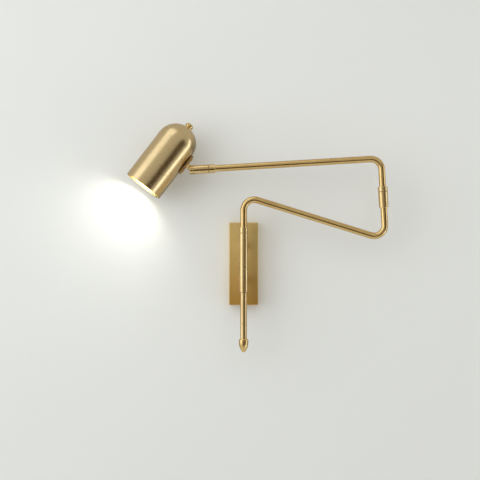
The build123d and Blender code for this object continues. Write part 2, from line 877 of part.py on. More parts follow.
# Inside the socket: the plug in the tube's end, the hollow spindle and its spring washer
head_insert = ring(
    arm_swivel.offset(socket_web_top + tube_end_gap),
    tube_bore - seat_fit,
    spindle_radius + seat_fit,
    insert_length,
)
head_insert.part.label = "head_insert"
export_step(head_insert.part, "parts/head_insert.step")

head_spindle_top = socket_web_start - web_gap - spring_washer_thickness
head_spindle = spindle(arm_swivel.offset(head_spindle_top))
head_spindle.part.label = "head_spindle"
export_step(head_spindle.part, "parts/head_spindle.step")

head_spring_washer = ring(
    arm_swivel.offset(head_spindle_top),
    spindle_head_radius,
    spindle_radius + seat_fit,
    spring_washer_thickness,
)
head_spring_washer.part.label = "head_spring_washer"
export_step(head_spring_washer.part, "parts/head_spring_washer.step")

# Socket sleeve: two cheeks for the knuckle, a cavity for the spindle's head, a web and a bearing bore
tilt_axis_plane = Plane(origin=swivel.origin, x_dir=swivel.z_dir, z_dir=swivel.y_dir)
slot_half_width = stem_thickness / 2 + stem_side_gap
pivot_head_outside = sqrt(socket_radius**2 - pivot_screw_head_radius**2) - pivot_screw_sink
with BuildPart() as socket_sleeve:
    with BuildSketch(swivel.offset(-socket_lip)):
        Circle(socket_radius)
    extrude(amount=socket_length)
    socket_rims = socket_sleeve.edges().filter_by(GeomType.CIRCLE).sort_by(Axis(swivel.origin, swivel.z_dir))
    fillet(socket_rims[0], radius=socket_nose_rounding)
    chamfer(socket_rims[-1], length=socket_edge)
    with BuildSketch(swivel.offset(-socket_lip)):
        Rectangle(2 * (socket_radius + cut_overrun), 2 * slot_half_width)
    extrude(amount=tilt_slot_depth, mode=Mode.SUBTRACT)
    with BuildSketch(swivel.offset(-socket_lip)):
        Circle(spindle_head_radius + screw_clearance)
    extrude(amount=tilt_slot_depth + head_cavity_depth, mode=Mode.SUBTRACT)
    with BuildSketch(swivel.offset(socket_web_start)):
        Circle(spindle_radius + running_fit)
    extrude(amount=swivel_web, mode=Mode.SUBTRACT)
    with BuildSketch(swivel.offset(socket_web_top)):
        Circle(bearing_bore)
    extrude(amount=socket_end - socket_web_top, mode=Mode.SUBTRACT)
    with BuildSketch(tilt_axis_plane):
        Circle(pivot_screw_radius)
    extrude(amount=socket_radius, both=True, mode=Mode.SUBTRACT)
    for cheek in (tilt_axis_plane, turned_over(tilt_axis_plane)):
        with BuildSketch(cheek.offset(pivot_head_outside - pivot_screw_head_height)):
            Circle(pivot_screw_head_radius + seat_fit)
        extrude(amount=socket_radius, mode=Mode.SUBTRACT)
socket_sleeve.part.label = "socket_sleeve"
export_step(socket_sleeve.part, "parts/socket_sleeve.step")

socket_bush = flanged_bush(
    swivel.offset(socket_end),
    tube_radius + running_fit,
    bearing_bore - seat_fit,
    swivel_bush_length,
    socket_radius - bush_flange_inset,
    bush_flange_thickness,
)
socket_bush.part.label = "socket_bush"
export_step(socket_bush.part, "parts/socket_bush.step")

# Two short pivot screws: each passes a cheek and bites into one side of the eye
pivot_shank = pivot_head_outside - pivot_screw_head_height - stem_thickness / 2 + pivot_screw_bite
pivot_screw = slotted_screw(
    pivot_screw_radius - seat_fit, pivot_shank, pivot_screw_head_radius, pivot_screw_head_height
)
with BuildPart() as tilt_screws:
    with Locations(
        tilt_axis_plane.offset(pivot_head_outside - pivot_screw_head_height),
        turned_over(tilt_axis_plane).offset(pivot_head_outside - pivot_screw_head_height),
    ):
        add(pivot_screw)
tilt_screws.part.label = "tilt_screws"
export_step(tilt_screws.part, "parts/tilt_screws.step")

# The head's frame: its origin is the middle of the shade's mouth, its z runs to the shade's top
# and its x runs to the knuckle
stem_side = swivel.x_dir * sin(radians(tilt_at_rest)) - swivel.z_dir * cos(radians(tilt_at_rest))
crown_side = swivel.x_dir * cos(radians(tilt_at_rest)) + swivel.z_dir * sin(radians(tilt_at_rest))
saddle_offset = shade_radius + saddle_gap + saddle_thickness
pivot_offset = saddle_offset + saddle_reach
mouth_centre = swivel.origin + stem_side * pivot_offset - crown_side * saddle_station
head = Plane(origin=mouth_centre, x_dir=-stem_side, z_dir=crown_side)
head_axis = Axis(head.origin, head.z_dir)
head_section = axis_plane(head)
side_plane = Plane(origin=head.offset(saddle_station).origin, x_dir=head.z_dir, z_dir=head.x_dir)

# Knuckle stem: a flat eye on the pivot, a round foot on the saddle and a tenon through it
stem_plane = turned_over(side_plane.offset(pivot_offset))
with BuildPart() as knuckle_stem:
    with BuildSketch(stem_plane):
        Rectangle(2 * stem_radius, stem_thickness)
    extrude(amount=stem_flat_reach)
    with BuildSketch(Plane(origin=stem_plane.origin, x_dir=head.z_dir, z_dir=head.y_dir)):
        Circle(stem_radius)
    extrude(amount=stem_thickness / 2, both=True)
    with BuildSketch(stem_plane):
        Circle(stem_radius)
        Rectangle(2 * stem_radius, stem_thickness, mode=Mode.INTERSECT)
    extrude(amount=stem_flat_reach)
    with BuildSketch(stem_plane.offset(stem_flat_reach)):
        Circle(stem_radius)
    extrude(amount=saddle_reach - stem_flat_reach)
    with BuildSketch(stem_plane.offset(saddle_reach)):
        Circle(stem_tenon_radius)
    extrude(amount=saddle_thickness)
    with BuildSketch(stem_plane.offset(-stem_radius)):
        Circle(stem_bore_radius)
    extrude(amount=stem_radius + saddle_reach + saddle_thickness, mode=Mode.SUBTRACT)
    with BuildSketch(Plane(origin=stem_plane.origin, x_dir=head.z_dir, z_dir=head.y_dir)):
        Circle(pivot_screw_radius + running_fit)
    extrude(amount=stem_thickness / 2, both=True, mode=Mode.SUBTRACT)
knuckle_stem.part.label = "knuckle_stem"
export_step(knuckle_stem.part, "parts/knuckle_stem.step")

# Saddle plate beside the shade, drilled for the tenon and two screws
with BuildPart() as saddle_plate:
    with BuildSketch(side_plane.offset(shade_radius + saddle_gap)):
        SlotOverall(saddle_length, saddle_width)
    extrude(amount=saddle_thickness)
    fillet(saddle_plate.faces().sort_by(Axis(head.origin, head.x_dir))[-1].edges(), radius=saddle_edge)
    with BuildSketch(side_plane.offset(shade_radius + saddle_gap)):
        Circle(stem_tenon_radius + seat_fit)
        with GridLocations(saddle_screw_spacing, 0, 2, 1):
            Circle(saddle_screw_radius + seat_fit)
    extrude(amount=saddle_thickness, mode=Mode.SUBTRACT)
saddle_plate.part.label = "saddle_plate"
export_step(saddle_plate.part, "parts/saddle_plate.step")

# Spacers between the saddle and the shade, hollowed to the shade's round side
with BuildPart() as saddle_spacers:
    with BuildSketch(side_plane.offset(shade_radius + saddle_gap)):
        with GridLocations(saddle_screw_spacing, 0, 2, 1):
            Circle(saddle_spacer_radius)
            Circle(saddle_screw_radius + seat_fit, mode=Mode.SUBTRACT)
    extrude(amount=-(saddle_gap + saddle_spacer_radius))
    with BuildSketch(head):
        Circle(shade_radius)
    extrude(amount=shade_straight + shade_radius, mode=Mode.SUBTRACT)
saddle_spacers.part.label = "saddle_spacers"
export_step(saddle_spacers.part, "parts/saddle_spacers.step")

# Saddle screws and the nuts inside the shade
nut_seat = sqrt((shade_radius - shade_wall) ** 2 - (saddle_nut_flats / 2) ** 2) - seat_fit
saddle_screw_length = saddle_offset - nut_seat + saddle_nut_height + saddle_screw_overhang
saddle_screw = slotted_screw(
    saddle_screw_radius, saddle_screw_length, saddle_screw_head_radius, saddle_screw_head_height
)
with BuildPart() as saddle_screws:
    with Locations(
        side_plane.offset(saddle_offset) * Pos(saddle_screw_spacing / 2, 0),
        side_plane.offset(saddle_offset) * Pos(-saddle_screw_spacing / 2, 0),
    ):
        add(saddle_screw)
saddle_screws.part.label = "saddle_screws"
export_step(saddle_screws.part, "parts/saddle_screws.step")

with BuildPart() as saddle_nuts:
    with BuildSketch(side_plane.offset(nut_seat)):
        with GridLocations(saddle_screw_spacing, 0, 2, 1):
            RegularPolygon(radius=saddle_nut_flats / 2, side_count=6, major_radius=False)
            Circle(saddle_screw_radius + seat_fit, mode=Mode.SUBTRACT)
    extrude(amount=-saddle_nut_height)
saddle_nuts.part.label = "saddle_nuts"
export_step(saddle_nuts.part, "parts/saddle_nuts.step")

# Rubber bush where the lead passes from the stem into the shade
with BuildPart() as lead_bush:
    with BuildSketch(side_plane.offset(shade_radius - shade_wall - lead_bush_tail)):
        Circle(lead_bush_radius - seat_fit)
    extrude(amount=shade_wall + lead_bush_tail)
    with BuildSketch(side_plane.offset(shade_radius)):
        Circle(lead_bush_flange_radius)
    extrude(amount=lead_bush_flange_thickness)
    with BuildSketch(side_plane.offset(shade_radius - shade_wall - lead_bush_tail)):
        Circle(stem_bore_radius)
    extrude(
        amount=shade_wall + lead_bush_tail + lead_bush_flange_thickness,
        mode=Mode.SUBTRACT,
    )
lead_bush.part.label = "lead_bush"
export_step(lead_bush.part, "parts/lead_bush.step")

# Shade: a straight tube closed by a half sphere, open at the mouth
with BuildPart() as shade:
    with BuildSketch(head_section):
        with BuildLine():
            outside = Line((shade_radius, 0), (shade_radius, shade_straight))
            outer_dome = CenterArc((0, shade_straight), shade_radius, 0, 90)
            crown = Line(outer_dome @ 1, (0, shade_straight + shade_radius - shade_wall))
            inner_dome = CenterArc((0, shade_straight), shade_radius - shade_wall, 0, 90)
            inside = Line((shade_radius - shade_wall, shade_straight), (shade_radius - shade_wall, 0))
            Line(inside @ 1, outside @ 0)
        make_face()
    revolve(axis=head_axis)
    rim_edges = shade.edges().filter_by(GeomType.CIRCLE).sort_by(Axis(head.origin, head.z_dir))[:2]
    fillet(rim_edges, radius=shade_rim_rounding)
    with BuildSketch(side_plane):
        Circle(lead_bush_radius)
        with GridLocations(saddle_screw_spacing, 0, 2, 1):
            Circle(saddle_screw_radius + seat_fit)
    extrude(amount=shade_radius + cut_overrun, mode=Mode.SUBTRACT)
    with BuildSketch(head.offset(shade_straight)):
        Circle(stud_radius + seat_fit)
    extrude(amount=shade_radius + cut_overrun, mode=Mode.SUBTRACT)
shade.part.label = "shade"
export_step(shade.part, "parts/shade.step")

# Neck and button knob on top of the shade
crown_height = shade_straight + shade_radius
with BuildPart() as apex_neck:
    with BuildSketch(head.offset(crown_height + neck_height)):
        Circle(neck_radius)
        Circle(stud_radius + seat_fit, mode=Mode.SUBTRACT)
    extrude(amount=-(neck_height + neck_radius))
    with BuildSketch(head_section):
        with BuildLine():
            dome_cut = CenterArc((0, shade_straight), shade_radius, 0, 90)
            Polyline(dome_cut @ 1, (0, shade_straight), dome_cut @ 0)
        make_face()
    revolve(axis=head_axis, mode=Mode.SUBTRACT)
apex_neck.part.label = "apex_neck"
export_step(apex_neck.part, "parts/apex_neck.step")

knob_foot = crown_height + neck_height
with BuildPart() as apex_knob:
    with BuildSketch(head_section):
        with BuildLine():
            wall_foot = knob_foot + knob_edge
            wall_top = knob_foot + knob_side
            cap_top = knob_foot + knob_height
            cap = ThreePointArc((knob_radius, wall_top), (0, cap_top), (-knob_radius, wall_top))
            Polyline(
                cap @ 1,
                (-knob_radius, wall_foot),
                (knob_edge - knob_radius, knob_foot),
                (knob_radius - knob_edge, knob_foot),
                (knob_radius, wall_foot),
                cap @ 0,
            )
        make_face()
        with Locations((0, wall_foot)):
            Rectangle(knob_radius, 2 * knob_height, align=(Align.MAX, Align.CENTER), mode=Mode.SUBTRACT)
    revolve(axis=head_axis)
    with BuildSketch(head.offset(knob_foot)):
        Circle(stud_radius + seat_fit)
    extrude(amount=knob_thread_depth + end_play, mode=Mode.SUBTRACT)
apex_knob.part.label = "apex_knob"
export_step(apex_knob.part, "parts/apex_knob.step")

# Stud from the lamp holder's bracket, through the shade's top, into the knob
lamp_base = lamp_recess + lamp_length
holder_foot = lamp_base + holder_gap
hat_foot_height = holder_foot + holder_height
hat_top = hat_foot_height + hat_height
stud_foot = hat_top - hat_thickness - stud_nut_height - stud_overhang
with BuildPart() as apex_stud:
    with BuildSketch(head.offset(stud_foot)):
        Circle(stud_radius)
    extrude(amount=knob_foot + knob_thread_depth - stud_foot)
apex_stud.part.label = "apex_stud"
export_step(apex_stud.part, "parts/apex_stud.step")

# Three nuts on the stud: under and over the bracket, and under the shade's top
crown_nut_reach = stud_nut_flats / sqrt(3)
crown_nut_top = shade_straight + sqrt((shade_radius - shade_wall) ** 2 - crown_nut_reach**2) - seat_fit
with BuildPart() as stud_nuts:
    for nut_foot in (hat_top - hat_thickness - stud_nut_height, hat_top, crown_nut_top - stud_nut_height):
        with BuildSketch(head.offset(nut_foot)):
            RegularPolygon(radius=stud_nut_flats / 2, side_count=6, major_radius=False)
            Circle(stud_radius + seat_fit, mode=Mode.SUBTRACT)
        extrude(amount=stud_nut_height)
stud_nuts.part.label = "stud_nuts"
export_step(stud_nuts.part, "parts/stud_nuts.step")

# Hat-shaped bracket between the lamp holder and the stud
with BuildPart() as lampholder_bracket:
    with BuildSketch(head_section):
        with BuildLine():
            leg = hat_inner_width / 2
            foot_end = leg + hat_foot
            Polyline(
                (foot_end, hat_foot_height),
                (leg, hat_foot_height),
                (leg, hat_top - hat_thickness),
                (-leg, hat_top - hat_thickness),
                (-leg, hat_foot_height),
                (-foot_end, hat_foot_height),
                (-foot_end, hat_foot_height + hat_thickness),
                (-(leg + hat_thickness), hat_foot_height + hat_thickness),
                (-(leg + hat_thickness), hat_top),
                (leg + hat_thickness, hat_top),
                (leg + hat_thickness, hat_foot_height + hat_thickness),
                (foot_end, hat_foot_height + hat_thickness),
                close=True,
            )
        make_face()
    extrude(amount=hat_width / 2, both=True)
    hat_screw_place = leg + hat_thickness + (hat_foot - hat_thickness) / 2
    with BuildSketch(head.offset(hat_foot_height)):
        Circle(stud_radius + seat_fit)
        with GridLocations(2 * hat_screw_place, 0, 2, 1):
            Circle(hat_screw_radius + seat_fit)
    extrude(amount=hat_height + cut_overrun, mode=Mode.SUBTRACT)
lampholder_bracket.part.label = "lampholder_bracket"
export_step(lampholder_bracket.part, "parts/lampholder_bracket.step")

hat_screw = slotted_screw(hat_screw_radius, hat_screw_length, hat_screw_head_radius, hat_screw_head_height)
with BuildPart() as bracket_screws:
    with Locations(
        head.offset(hat_foot_height + hat_thickness) * Pos(hat_screw_place, 0),
        head.offset(hat_foot_height + hat_thickness) * Pos(-hat_screw_place, 0),
    ):
        add(hat_screw)
bracket_screws.part.label = "bracket_screws"
export_step(bracket_screws.part, "parts/bracket_screws.step")

# Ceramic lamp holder: a stepped round body with two pin holes and two screw holes
with BuildPart() as lampholder:
    with BuildSketch(head.offset(holder_foot)):
        Circle(holder_step_radius)
    extrude(amount=holder_step_height)
    with BuildSketch(head.offset(holder_foot + holder_step_height)):
        Circle(holder_radius)
    extrude(amount=holder_height - holder_step_height)
    chamfer(
        lampholder.edges().filter_by(GeomType.CIRCLE).group_by(SortBy.RADIUS)[-1],
        length=holder_edge,
    )
    with BuildSketch(head.offset(holder_foot)):
        with GridLocations(0, pin_spacing, 1, 2):
            Circle(holder_pin_radius)
    extrude(amount=holder_pin_depth, mode=Mode.SUBTRACT)
    with BuildSketch(head.offset(hat_foot_height)):
        with GridLocations(2 * hat_screw_place, 0, 2, 1):
            Circle(hat_screw_radius + seat_fit)
    extrude(amount=-(hat_screw_length - hat_thickness + end_play), mode=Mode.SUBTRACT)
lampholder.part.label = "lampholder"
export_step(lampholder.part, "parts/lampholder.step")

# Reflector lamp: a flared body with a recess for its front lens
with BuildPart() as lamp_body:
    with BuildSketch(head_section):
        with BuildLine():
            rim_top = lamp_recess + lamp_rim
            neck_foot = lamp_base - lamp_neck_length
            front = Line((0, lamp_recess), (lamp_radius, lamp_recess))
            rim = Line(front @ 1, (lamp_radius, rim_top))
            flare_radius = lamp_radius + lamp_neck_radius
            flare = RadiusArc(rim @ 1, (lamp_neck_radius, neck_foot), radius=-flare_radius)
            neck = Line(flare @ 1, (lamp_neck_radius, lamp_base))
            Polyline(neck @ 1, (0, lamp_base), front @ 0)
        make_face()
    revolve(axis=head_axis)
    with BuildSketch(head.offset(lamp_recess)):
        Circle(lamp_lens_radius + seat_fit)
    extrude(amount=lamp_lens_sink + lamp_lens_thickness, mode=Mode.SUBTRACT)
lamp_body.part.label = "lamp_body"
export_step(lamp_body.part, "parts/lamp_body.step")

with BuildPart() as lamp_lens:
    with BuildSketch(head.offset(lamp_recess + lamp_lens_sink)):
        Circle(lamp_lens_radius)
    extrude(amount=lamp_lens_thickness)
lamp_lens.part.label = "lamp_lens"
export_step(lamp_lens.part, "parts/lamp_lens.step")

# The lamp's two pins, each with a thick foot that locks in the holder
with BuildPart() as lamp_pins:
    with BuildSketch(head.offset(lamp_base)):
        with GridLocations(0, pin_spacing, 1, 2):
            Circle(pin_radius)
    extrude(amount=pin_length)
    with BuildSketch(head.offset(lamp_base + pin_length - pin_foot_height)):
        with GridLocations(0, pin_spacing, 1, 2):
            Circle(pin_foot_radius)
    extrude(amount=pin_foot_height)
lamp_pins.part.label = "lamp_pins"
export_step(lamp_pins.part, "parts/lamp_pins.step")
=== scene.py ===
import json
import math

import bpy
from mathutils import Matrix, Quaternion, Vector


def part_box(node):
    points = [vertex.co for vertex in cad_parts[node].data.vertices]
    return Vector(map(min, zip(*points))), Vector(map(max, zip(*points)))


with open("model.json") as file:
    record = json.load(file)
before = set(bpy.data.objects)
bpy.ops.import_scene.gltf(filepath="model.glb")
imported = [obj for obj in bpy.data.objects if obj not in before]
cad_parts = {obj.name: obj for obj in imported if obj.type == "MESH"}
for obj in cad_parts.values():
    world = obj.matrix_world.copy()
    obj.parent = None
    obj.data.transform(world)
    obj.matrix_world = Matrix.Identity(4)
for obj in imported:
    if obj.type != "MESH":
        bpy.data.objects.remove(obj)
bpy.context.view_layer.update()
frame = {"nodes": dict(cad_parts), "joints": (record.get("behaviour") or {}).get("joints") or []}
nodes = frame["nodes"]
joints = {joint["name"]: joint for joint in frame["joints"]}

# The photograph's frame

photo_width = 480
photo_scale = 0.0015
camera_distance = 2.0
sensor_width = 36.0
origin_pixel_x = 243.6
origin_pixel_y = 264.0
arm_plane_y = joints["arm_swing"]["pos_m"][1]

# The room

wall_color = (0.88, 0.895, 0.865)
floor_color = (0.78, 0.78, 0.76)
wall_half_width = 4.0
wall_height = 3.2
floor_height = -1.5
wall_gap = 0.0004

# Noise: most of it lies between low and high

noise_low = 0.3
noise_high = 0.7
cloud_low = 0.35
grain_detail = 4.0
grain_harshness = 0.6

# Edges: how alike the rounded and the true normal are on a flat face and on an edge

flat_likeness = 0.99
edge_likeness = 0.80
bevel_samples = 4
small_edge_radius = 0.0003


def middle(node):
    """The centre of a node's surface, which lies on its axis where the node is turned about one."""
    faces = nodes[node].data.polygons
    area = sum(face.area for face in faces)
    return sum((face.center * face.area for face in faces), Vector()) / area


# Node tree helpers

def feed(tree, socket, value):
    """Links a socket, or sets its own value."""
    if isinstance(value, bpy.types.NodeSocket):
        tree.links.new(value, socket)
    else:
        socket.default_value = value


def add(tree, kind, inputs=None, **settings):
    """Adds a shader node with its settings, and feeds its sockets."""
    node = tree.nodes.new("ShaderNode" + kind)
    for name, value in settings.items():
        setattr(node, name, value)
    for name, value in (inputs or {}).items():
        feed(tree, node.inputs[name], value)
    return node


def math_node(tree, operation, first, second):
    """One sum on two values."""
    return add(tree, "Math", {0: first, 1: second}, operation=operation).outputs[0]


def map_range(tree, value, low, high, new_low, new_high, smooth=False):
    """Stretches low..high to new_low..new_high, and holds it there."""
    kind = "SMOOTHSTEP" if smooth else "LINEAR"
    inputs = {"Value": value, "From Min": low, "From Max": high, "To Min": new_low, "To Max": new_high}
    return add(tree, "MapRange", inputs, interpolation_type=kind).outputs["Result"]


def mix_color(tree, share, first, second):
    """Two colours mixed by a share."""
    node = add(tree, "Mix", data_type="RGBA")
    color_inputs = [socket for socket in node.inputs if socket.type == "RGBA"]
    feed(tree, node.inputs[0], share)
    feed(tree, color_inputs[0], first)
    feed(tree, color_inputs[1], second)
    return [socket for socket in node.outputs if socket.type == "RGBA"][0]


def solid_place(tree):
    """A point of the piece in the row frame, which moves with the piece."""
    return add(tree, "TexCoord").outputs["Object"]


def noise(tree, place, scale, detail=3.0, roughness=0.55, distortion=0.0):
    """Soft noise between 0 and 1."""
    inputs = {
        "Vector": place,
        "Scale": scale,
        "Detail": detail,
        "Roughness": roughness,
        "Distortion": distortion,
    }
    return add(tree, "TexNoise", inputs).outputs[0]


def stretched(tree, place, scale_x, scale_y, scale_z):
    """A place stretched by its own scale along each axis."""
    return add(tree, "Mapping", {"Vector": place, "Scale": (scale_x, scale_y, scale_z)}).outputs[0]


def straight_grain(tree, fine, long):
    """Grain lines along Z: fine is the lines' width and long their length."""
    place = stretched(tree, solid_place(tree), 1 / fine, 1 / fine, 1 / long)
    return noise(tree, place, 1.0, detail=grain_detail, roughness=grain_harshness)


def turned_grain(tree, centre, axis, fine, turn_share):
    """Grain rings about an axis, as a lathe and an abrasive belt leave them."""
    rotation = Vector(axis).to_track_quat("Z", "Y").to_euler()
    inputs = {"Vector": solid_place(tree), "Location": centre, "Rotation": rotation}
    local = add(tree, "Mapping", inputs, vector_type="TEXTURE").outputs[0]
    parts = add(tree, "SeparateXYZ", {0: local})
    flat = add(tree, "CombineXYZ", {"X": parts.outputs["X"], "Y": parts.outputs["Y"]}).outputs[0]
    radius = add(tree, "VectorMath", {0: flat}, operation="LENGTH").outputs["Value"]
    around = add(tree, "VectorMath", {0: flat}, operation="NORMALIZE").outputs["Vector"]
    turn = add(tree, "SeparateXYZ", {0: around})
    place = add(tree, "CombineXYZ", {
        "X": math_node(tree, "DIVIDE", radius, fine),
        "Y": math_node(tree, "DIVIDE", parts.outputs["Z"], fine),
        "Z": math_node(tree, "MULTIPLY", turn.outputs["X"], turn_share),
    }).outputs[0]
    inputs = {
        "Vector": place,
        "W": math_node(tree, "MULTIPLY", turn.outputs["Y"], turn_share),
        "Scale": 1.0,
        "Detail": grain_detail,
        "Roughness": grain_harshness,
    }
    return add(tree, "TexNoise", inputs, noise_dimensions="4D").outputs[0]


def even_grain(tree, fine):
    """Fine marks with no direction, as on a tumbled or sprayed surface."""
    return noise(tree, solid_place(tree), 1 / fine, detail=grain_detail, roughness=grain_harshness)


def edge_share(tree, radius):
    """1 along the piece's outer edges and 0 away from them."""
    rounded = add(tree, "Bevel", {"Radius": radius}, samples=bevel_samples).outputs["Normal"]
    true_normal = add(tree, "NewGeometry").outputs["Normal"]
    likeness = add(tree, "VectorMath", {0: rounded, 1: true_normal}, operation="DOT_PRODUCT")
    return map_range(tree, likeness.outputs["Value"], flat_likeness, edge_likeness, 0.0, 1.0)


def new_tree(name):
    """A material with an output node only."""
    material = bpy.data.materials.new(name)
    material.use_nodes = True
    material.node_tree.nodes.clear()
    add(material.node_tree, "OutputMaterial")
    return material, material.node_tree


def finish_tree(tree, shader):
    """Links the last shader to the output."""
    tree.links.new(shader.outputs[0], tree.nodes["Material Output"].inputs["Surface"])


def bump(tree, height, depth):
    """Small relief, depth metres high."""
    return add(tree, "Bump", {"Height": height, "Distance": depth, "Strength": 1.0}).outputs["Normal"]


# Brass and bronze

tarnish_size = 0.02
brass_edge_radius = 0.0005
grain_mix = 0.32
grain_roughness_swing = 0.045
brass_rubbed_mix = 0.55
lacquer_roughness = 0.12
cloud_smoother = -0.02
cloud_rougher = 0.03


def brass(name, color, deep, bright, grain_maker, roughness, grain_depth=0.00001, coat=0.0,
          anisotropic=0.0, clouding=0.4, grain_swing=1.0, recolor=None):
    """Brass with tarnish clouds, grain, rubbed edges and any lacquer; recolor changes it by place."""
    material, tree = new_tree(name)
    place = solid_place(tree)
    grain = grain_maker(tree)
    clouds = noise(tree, place, 1 / tarnish_size, detail=3.0, roughness=0.6, distortion=0.4)
    cloud_share = map_range(tree, clouds, cloud_low, noise_high, 0.0, clouding, smooth=True)
    clouded = mix_color(tree, cloud_share, color, deep)
    if recolor:
        clouded = recolor(tree, clouded)
    grain_share = map_range(tree, grain, noise_low, noise_high, 0.0, grain_mix * grain_swing)
    grained = mix_color(tree, grain_share, clouded, deep)
    rubbed = math_node(tree, "MULTIPLY", edge_share(tree, brass_edge_radius), brass_rubbed_mix)
    final_color = mix_color(tree, rubbed, grained, bright)
    swing = grain_roughness_swing * grain_swing
    grain_roughness = map_range(tree, grain, noise_low, noise_high, roughness - swing, roughness + swing)
    cloud_roughness = map_range(tree, clouds, noise_low, noise_high, cloud_smoother, cloud_rougher)
    final_roughness = math_node(tree, "ADD", grain_roughness, cloud_roughness)
    shader = add(tree, "BsdfPrincipled", {
        "Base Color": final_color,
        "Metallic": 1.0,
        "Roughness": final_roughness,
        "Normal": bump(tree, grain, grain_depth),
        "Coat Weight": coat,
        "Coat Roughness": lacquer_roughness,
        "Anisotropic": anisotropic,
    })
    finish_tree(tree, shader)
    return material


# Zinc: its crystals and scuffs are counted per metre

zinc_crystals = 900.0
scuffs_across = 900.0
scuffs_along = 180.0
zinc_bright = (0.66, 0.67, 0.68, 1)
zinc_dull = (0.52, 0.54, 0.57, 1)
zinc_yellow = (0.60, 0.56, 0.44, 1)
zinc_rubbed = (0.78, 0.78, 0.78, 1)
zinc_dull_mix = 0.35
zinc_yellow_mix = 0.30
zinc_rubbed_mix = 0.5
yellow_low = 0.4
yellow_high = 0.75
zinc_smooth = 0.26
zinc_rough = 0.42
zinc_relief = 0.00001


def zinc(name):
    """Bright zinc plating with faint crystals and scuffs."""
    material, tree = new_tree(name)
    place = solid_place(tree)
    crystals = add(tree, "TexVoronoi", {"Vector": place, "Scale": zinc_crystals}).outputs["Color"]
    tone = add(tree, "SeparateColor", {0: crystals}).outputs[0]
    scuff_place = stretched(tree, place, scuffs_across, scuffs_across, scuffs_along)
    scuffs = noise(tree, scuff_place, 1.0, detail=grain_detail)
    dull_share = map_range(tree, tone, 0.0, 1.0, 0.0, zinc_dull_mix)
    base = mix_color(tree, dull_share, zinc_bright, zinc_dull)
    yellow_share = map_range(tree, scuffs, yellow_low, yellow_high, 0.0, zinc_yellow_mix)
    yellowed = mix_color(tree, yellow_share, base, zinc_yellow)
    rubbed = math_node(tree, "MULTIPLY", edge_share(tree, small_edge_radius), zinc_rubbed_mix)
    final_color = mix_color(tree, rubbed, yellowed, zinc_rubbed)
    shader = add(tree, "BsdfPrincipled", {
        "Base Color": final_color,
        "Metallic": 1.0,
        "Roughness": map_range(tree, scuffs, noise_low, noise_high, zinc_smooth, zinc_rough),
        "Normal": bump(tree, scuffs, zinc_relief),
    })
    finish_tree(tree, shader)
    return material


# Plastics, rubber and ceramic: their clouds are counted per metre

moulded_clouds = 120.0
moulded_texture_size = 0.0004
moulded_cloud_mix = 0.7
moulded_rubbed_mix = 0.4
moulded_edge_gain = 1.15
moulded_smoother = -0.05
moulded_rougher = 0.06
speckle_low = 0.55
speckle_high = 0.8
speckle_mix = 0.4


def moulded(name, color, shade, roughness, depth=0.00002, coat=0.0):
    """A moulded or fired surface: clouds of tone, a fine texture and paler edges."""
    material, tree = new_tree(name)
    place = solid_place(tree)
    texture = noise(tree, place, 1 / moulded_texture_size, detail=3.0)
    clouds = noise(tree, place, moulded_clouds, detail=3.0)
    cloud_share = map_range(tree, clouds, cloud_low, noise_high, 0.0, moulded_cloud_mix, smooth=True)
    clouded = mix_color(tree, cloud_share, color, shade)
    speckle_share = map_range(tree, texture, speckle_low, speckle_high, 0.0, speckle_mix)
    speckled = mix_color(tree, speckle_share, clouded, shade)
    pale = tuple(min(1.0, part * moulded_edge_gain) for part in color[:3]) + (1,)
    rubbed = math_node(tree, "MULTIPLY", edge_share(tree, small_edge_radius), moulded_rubbed_mix)
    final_color = mix_color(tree, rubbed, speckled, pale)
    smoothest = roughness + moulded_smoother
    roughest = roughness + moulded_rougher
    shader = add(tree, "BsdfPrincipled", {
        "Base Color": final_color,
        "Roughness": map_range(tree, texture, noise_low, noise_high, smoothest, roughest),
        "Normal": bump(tree, texture, depth),
        "Coat Weight": coat,
    })
    finish_tree(tree, shader)
    return material


# The lit lens: its frost is counted per metre

lens_glow = 24.0
lens_color = (0.86, 0.86, 0.84, 1)
glow_color = (1.0, 0.98, 0.95, 1)
ring_glow_color = (1.0, 0.94, 0.84, 1)
ring_width = 0.0012
ring_mix = 0.35
ring_relief = 0.00003
lens_frost = 1500.0
lens_smooth = 0.25
lens_rough = 0.40


def lit_lens(name, centre, axis):
    """The lamp's frosted front: lit evenly, with faint moulded rings."""
    material, tree = new_tree(name)
    rings = turned_grain(tree, centre, axis, fine=ring_width, turn_share=0.5)
    frost = noise(tree, solid_place(tree), lens_frost, detail=2.0)
    ring_share = map_range(tree, rings, noise_low, noise_high, 0.0, ring_mix)
    shader = add(tree, "BsdfPrincipled", {
        "Base Color": lens_color,
        "Roughness": map_range(tree, frost, noise_low, noise_high, lens_smooth, lens_rough),
        "Normal": bump(tree, rings, ring_relief),
        "Emission Color": mix_color(tree, ring_share, glow_color, ring_glow_color),
        "Emission Strength": lens_glow,
    })
    finish_tree(tree, shader)
    return material


# The axes that the turned pieces' grain goes round

swing_centre = joints["arm_swing"]["pos_m"]
swing_axis = joints["arm_swing"]["axis"]
elbow_centre = joints["elbow_swing"]["pos_m"]
elbow_axis = joints["elbow_swing"]["axis"]
roll_centre = joints["head_roll"]["pos_m"]
roll_axis = joints["head_roll"]["axis"]
head_centre = middle("lamp_lens")
head_axis = (middle("apex_knob") - head_centre).normalized()

# The shade and the plate

shade_lining_color = (0.54, 0.48, 0.27, 1)
lining_blend = 0.0005
# The plate's deep tone: used for its tarnish and grain, and as painted shade towards its foot
plate_deep_tone_and_shade = (0.74, 0.44, 0.11, 1)
plate_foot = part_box("backplate_cover")[0][2]
painted_shade_start = 0.030


